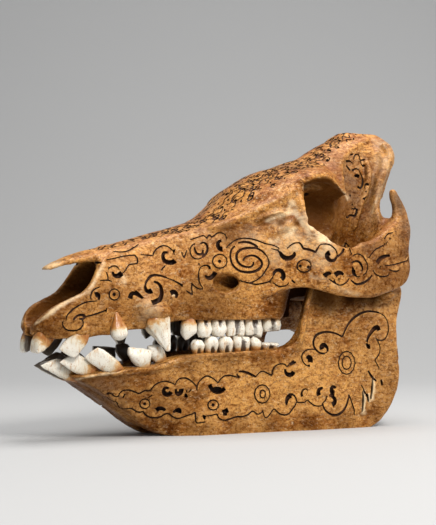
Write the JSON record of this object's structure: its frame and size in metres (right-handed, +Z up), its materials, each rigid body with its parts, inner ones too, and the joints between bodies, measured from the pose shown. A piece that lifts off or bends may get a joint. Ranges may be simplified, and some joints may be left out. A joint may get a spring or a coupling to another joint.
{
  "type": "carved wild boar skull",
  "caption": "Dry wild boar skull with lower jaw and teeth, its amber-stained bone carved with scrollwork; a decorative piece that stands on its lower jaw.",
  "frame": {"origin": "middle of the bounding box in plan, on the surface that the lower jaw stands on", "axes": "+X from the snout to the back of the skull, -Y the animal's left side, +Z up"},
  "size_m": [0.3136, 0.123, 0.2281],
  "materials": {
    "stained_bone": "amber-stained bone, satin",
    "stained_jawbone": "amber-stained bone, satin",
    "enamel": "tooth enamel, satin"
  },
  "bodies": {
    "root": {"cranium": "stained_bone", "mandible": "stained_jawbone", "upper_left_incisor_1": "enamel", "upper_left_incisor_2": "enamel", "upper_left_incisor_3": "enamel", "upper_left_canine": "enamel", "upper_left_premolar_1": "enamel", "upper_left_premolar_2": "enamel", "upper_left_premolar_3": "enamel", "upper_left_premolar_4": "enamel", "upper_left_molar_1": "enamel", "upper_left_molar_2": "enamel", "upper_right_incisor_1": "enamel", "upper_right_incisor_2": "enamel", "upper_right_incisor_3": "enamel", "upper_right_canine": "enamel", "upper_right_premolar_1": "enamel", "upper_right_premolar_2": "enamel", "upper_right_premolar_3": "enamel", "upper_right_premolar_4": "enamel", "upper_right_molar_1": "enamel", "upper_right_molar_2": "enamel", "lower_left_incisor_1": "enamel", "lower_left_incisor_2": "enamel", "lower_left_incisor_3": "enamel", "lower_left_canine": "enamel", "lower_left_premolar_1": "enamel", "lower_left_premolar_2": "enamel", "lower_left_premolar_3": "enamel", "lower_left_premolar_4": "enamel", "lower_left_molar_1": "enamel", "lower_left_molar_2": "enamel", "lower_left_molar_3": "enamel", "lower_right_incisor_1": "enamel", "lower_right_incisor_2": "enamel", "lower_right_incisor_3": "enamel", "lower_right_canine": "enamel", "lower_right_premolar_1": "enamel", "lower_right_premolar_2": "enamel", "lower_right_premolar_3": "enamel", "lower_right_premolar_4": "enamel", "lower_right_molar_1": "enamel", "lower_right_molar_2": "enamel", "lower_right_molar_3": "enamel"}
  },
  "joints": []
}
